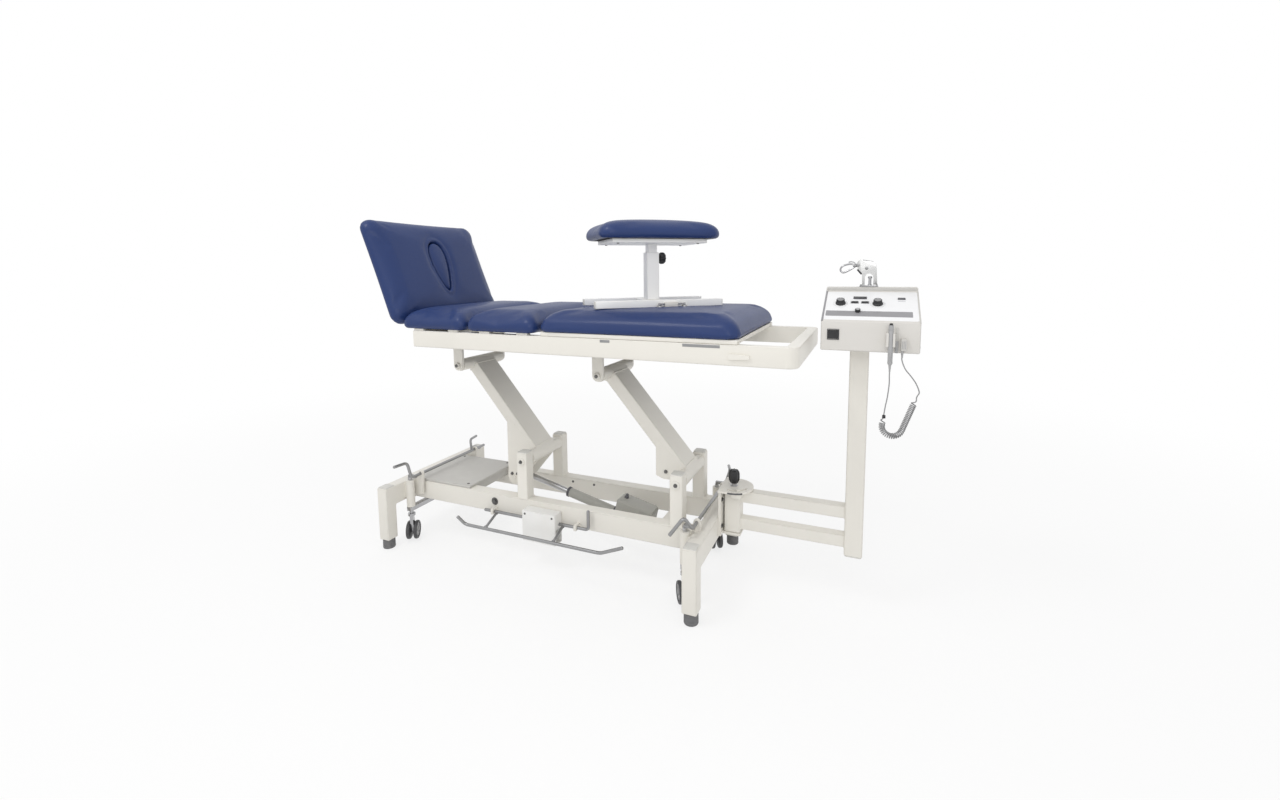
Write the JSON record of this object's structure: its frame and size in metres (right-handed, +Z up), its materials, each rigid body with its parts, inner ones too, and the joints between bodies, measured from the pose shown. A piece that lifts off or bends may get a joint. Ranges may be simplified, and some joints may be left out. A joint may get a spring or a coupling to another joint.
{
  "type": "spinal decompression table",
  "caption": "Height-adjustable padded treatment table with a raised head piece, a rolling leg section, a swivelling traction stand with a control console, and a small padded stool on top",
  "frame": {"origin": "On the floor under the middle of the bounding box, cord left out", "axes": "+X from the head end to the traction stand, +Y away from the side with the foot treadle, +Z up"},
  "size_m": [1.971, 0.618, 1.3263],
  "materials": {
    "black_plastic": "moulded, fine grain",
    "brushed_steel": "plain bent rod",
    "chrome": "polished plate",
    "grey_plastic": "moulded",
    "grey_rubber": "matte",
    "ivory_paint": "satin powder coat",
    "navy_vinyl": "smooth coated vinyl over foam",
    "white_plastic": "painted moulding"
  },
  "bodies": {
    "base": {"left_leg_frame": "ivory_paint", "right_leg_frame": "ivory_paint", "front_base_rail": "ivory_paint", "back_base_rail": "ivory_paint", "actuator_crossbeam": "ivory_paint", "shelf_plate": "grey_plastic", "front_left_foot": "grey_rubber", "front_right_foot": "grey_rubber", "back_left_foot": "grey_rubber", "back_right_foot": "grey_rubber", "stand_bracket": "ivory_paint", "treadle_box": "white_plastic", "left_lower_shaft": "brushed_steel", "right_lower_shaft": "brushed_steel"},
    "treadle": {"foot_treadle": "brushed_steel"},
    "left_pedal": {"left_pedal_bar": "brushed_steel"},
    "right_pedal": {"right_pedal_bar": "brushed_steel"},
    "left_carrier": {"left_caster_carrier": "brushed_steel"},
    "right_carrier": {"right_caster_carrier": "brushed_steel"},
    "left_arm": {"left_lift_arm": "ivory_paint"},
    "right_arm": {"right_lift_arm": "ivory_paint"},
    "actuator": {"actuator_body": "grey_plastic"},
    "actuator_ram": {"actuator_rod": "brushed_steel"},
    "table": {"table_frame": "ivory_paint", "chest_cushion": "navy_vinyl", "lumbar_cushion": "navy_vinyl"},
    "lock_lever": {"section_lock_lever": "ivory_paint"},
    "leg_section": {"leg_carriage": "ivory_paint", "leg_cushion": "navy_vinyl"},
    "stool": {"stool_base": "ivory_paint"},
    "stool_seat": {"stool_stem": "ivory_paint", "stool_cushion": "navy_vinyl"},
    "stool_screw": {"stool_knob": "black_plastic"},
    "head": {"head_support": "ivory_paint", "head_cushion": "navy_vinyl"},
    "face_plug": {"face_slot_plug": "navy_vinyl"},
    "stand": {"stand_frame": "ivory_paint", "console_housing": "white_plastic", "rope_head": "chrome", "hand_switch": "grey_plastic", "handset_cord_lead": "grey_plastic", "handset_cord_curls": "grey_plastic", "handset_cord_tail": "grey_plastic"},
    "stand_screw": {"stand_clamp_knob": "black_plastic"},
    "dial_left": {"left_dial": "black_plastic"},
    "dial_right": {"right_dial": "black_plastic"},
    "key_left": {"left_key": "black_plastic"},
    "key_right": {"right_key": "black_plastic"},
    "rocker": {"power_rocker": "black_plastic"},
    "pulley": {"rope_pulley": "grey_plastic"},
    "hook": {"rope_hook": "chrome"},
    "switch_button": {"hand_switch_button": "black_plastic"},
    "front_left_fork": {"front_left_caster_fork": "chrome"},
    "front_left_wheel": {"front_left_caster_wheel": "black_plastic"},
    "front_right_fork": {"front_right_caster_fork": "chrome"},
    "front_right_wheel": {"front_right_caster_wheel": "black_plastic"},
    "back_left_fork": {"back_left_caster_fork": "chrome"},
    "back_left_wheel": {"back_left_caster_wheel": "black_plastic"},
    "back_right_fork": {"back_right_caster_fork": "chrome"},
    "back_right_wheel": {"back_right_caster_wheel": "black_plastic"}
  },
  "joints": [
    {"name": "lift", "type": "hinge", "parent": "base", "child": "left_arm", "pos_m": [-0.3638, 0, 0.392], "axis": [0, 1, 0], "range_deg": [-50, 2]},
    {"name": "right_arm_turn", "type": "hinge", "parent": "base", "child": "right_arm", "pos_m": [0.2612, 0, 0.392], "axis": [0, 1, 0], "range_deg": [-50.5, 2.5]},
    {"name": "table_level", "type": "hinge", "parent": "left_arm", "child": "table", "pos_m": [-0.66356, 0, 0.74421], "axis": [0, 1, 0], "range_deg": [-2.5, 50.5]},
    {"name": "actuator_swing", "type": "hinge", "parent": "base", "child": "actuator", "pos_m": [0.1412, 0, 0.14], "axis": [0, 1, 0], "range_deg": [-2, 0.2]},
    {"name": "actuator_stroke", "type": "slide", "parent": "actuator", "child": "actuator_ram", "axis": [-0.9725, 0, 0.2331], "range_m": [-0.125, 0.006]},
    {"name": "head_tilt", "type": "hinge", "parent": "table", "child": "head", "pos_m": [-0.84056, 0, 0.90321], "axis": [0, 1, 0], "range_deg": [-88, 0]},
    {"name": "face_plug_pull", "type": "slide", "parent": "head", "child": "face_plug", "axis": [0.9311, 0, 0.3649], "range_m": [0, 0.09]},
    {"name": "leg_roll", "type": "slide", "parent": "table", "child": "leg_section", "axis": [1, 0, 0], "range_m": [0, 0.13]},
    {"name": "section_lock", "type": "hinge", "parent": "table", "child": "lock_lever", "pos_m": [0.48144, -0.3, 0.86721], "axis": [0, 1, 0], "range_deg": [0, 90]},
    {"name": "stool_lift_off", "type": "slide", "parent": "leg_section", "child": "stool", "axis": [0, 0, 1], "range_m": [0, 0.25]},
    {"name": "stool_height", "type": "slide", "parent": "stool", "child": "stool_seat", "axis": [0, 0, 1], "range_m": [0, 0.08]},
    {"name": "stool_knob_turn", "type": "hinge", "parent": "stool", "child": "stool_screw", "pos_m": [0.11544, 0, 1.16011], "axis": [0.766, 0.6428, 0], "range_deg": [-90, 90]},
    {"name": "treadle_press", "type": "hinge", "parent": "base", "child": "treadle", "pos_m": [-0.2888, -0.173, 0.183], "axis": [1, 0, 0], "range_deg": [-8, 8], "stiffness_Nm_per_rad": 60},
    {"name": "left_pedal_turn", "type": "hinge", "parent": "base", "child": "left_pedal", "pos_m": [-0.8548, 0, 0.283], "axis": [0, 1, 0], "range_deg": [-12, 0]},
    {"name": "left_carrier_drop", "type": "slide", "parent": "base", "child": "left_carrier", "axis": [0, 0, 1], "range_m": [-0.0075, 0]},
    {"name": "front_left_swivel_turn", "type": "hinge", "parent": "left_carrier", "child": "front_left_fork", "pos_m": [-0.8868, -0.2, 0.041], "axis": [0, 0, 1], "continuous": true},
    {"name": "front_left_wheel_spin", "type": "hinge", "parent": "front_left_fork", "child": "front_left_wheel", "pos_m": [-0.8928, -0.18961, 0.041], "axis": [0.866, 0.5, 0], "continuous": true},
    {"name": "back_left_swivel_turn", "type": "hinge", "parent": "left_carrier", "child": "back_left_fork", "pos_m": [-0.8868, 0.2, 0.041], "axis": [0, 0, 1], "continuous": true},
    {"name": "back_left_wheel_spin", "type": "hinge", "parent": "back_left_fork", "child": "back_left_wheel", "pos_m": [-0.8928, 0.21039, 0.041], "axis": [0.866, 0.5, 0], "continuous": true},
    {"name": "right_pedal_turn", "type": "hinge", "parent": "base", "child": "right_pedal", "pos_m": [0.3412, 0, 0.283], "axis": [0, 1, 0], "range_deg": [-12, 0]},
    {"name": "right_carrier_drop", "type": "slide", "parent": "base", "child": "right_carrier", "axis": [0, 0, 1], "range_m": [-0.0075, 0]},
    {"name": "front_right_swivel_turn", "type": "hinge", "parent": "right_carrier", "child": "front_right_fork", "pos_m": [0.3092, -0.2, 0.041], "axis": [0, 0, 1], "continuous": true},
    {"name": "front_right_wheel_spin", "type": "hinge", "parent": "front_right_fork", "child": "front_right_wheel", "pos_m": [0.3032, -0.18961, 0.041], "axis": [0.866, 0.5, 0], "continuous": true},
    {"name": "back_right_swivel_turn", "type": "hinge", "parent": "right_carrier", "child": "back_right_fork", "pos_m": [0.3092, 0.2, 0.041], "axis": [0, 0, 1], "continuous": true},
    {"name": "back_right_wheel_spin", "type": "hinge", "parent": "back_right_fork", "child": "back_right_wheel", "pos_m": [0.3032, 0.21039, 0.041], "axis": [0.866, 0.5, 0], "continuous": true},
    {"name": "stand_swivel", "type": "hinge", "parent": "base", "child": "stand", "pos_m": [0.4252, 0, 0], "axis": [0, 0, 1], "range_deg": [-12, 12]},
    {"name": "stand_knob_turn", "type": "hinge", "parent": "stand", "child": "stand_screw", "pos_m": [0.4252, 0, 0.36], "axis": [0, 0, 1], "range_deg": [-90, 90]},
    {"name": "left_dial_turn", "type": "hinge", "parent": "stand", "child": "dial_left", "pos_m": [0.76244, -0.02231, 1.00905], "axis": [0, -0.4264, 0.9045], "range_deg": [-140, 140]},
    {"name": "right_dial_turn", "type": "hinge", "parent": "stand", "child": "dial_right", "pos_m": [0.86944, -0.02231, 1.00905], "axis": [0, -0.4264, 0.9045], "range_deg": [-140, 140]},
    {"name": "left_key_press", "type": "slide", "parent": "stand", "child": "key_left", "axis": [0, 0.4264, -0.9045], "range_m": [0, 0.0025], "stiffness_N_per_m": 400},
    {"name": "right_key_press", "type": "slide", "parent": "stand", "child": "key_right", "axis": [0, 0.4264, -0.9045], "range_m": [0, 0.0025], "stiffness_N_per_m": 400},
    {"name": "power_rocker_tip", "type": "hinge", "parent": "stand", "child": "rocker", "pos_m": [0.74894, -0.117, 0.9225], "axis": [1, 0, 0], "range_deg": [-8, 8]},
    {"name": "pulley_spin", "type": "hinge", "parent": "stand", "child": "pulley", "pos_m": [0.83344, 0.0835, 1.1183], "axis": [0, 1, 0], "continuous": true},
    {"name": "hook_swing", "type": "hinge", "parent": "stand", "child": "hook", "pos_m": [0.80744, 0.0835, 1.1283], "axis": [0, 1, 0], "range_deg": [-75, 35]},
    {"name": "hand_switch_press", "type": "slide", "parent": "stand", "child": "switch_button", "axis": [0, 0, -1], "range_m": [0, 0.0025], "stiffness_N_per_m": 400}
  ],
  "couplings": [
    {"joint": "right_arm_turn", "follows": "lift", "ratio": 1},
    {"joint": "table_level", "follows": "lift", "ratio": -1},
    {"joint": "actuator_swing", "follows": "lift", "ratio": 0.036},
    {"joint": "actuator_stroke", "follows": "lift", "m_per_rad": 0.1412},
    {"joint": "left_pedal_turn", "follows": "left_carrier_drop", "rad_per_m": 27.778},
    {"joint": "right_pedal_turn", "follows": "right_carrier_drop", "rad_per_m": 27.778}
  ]
}
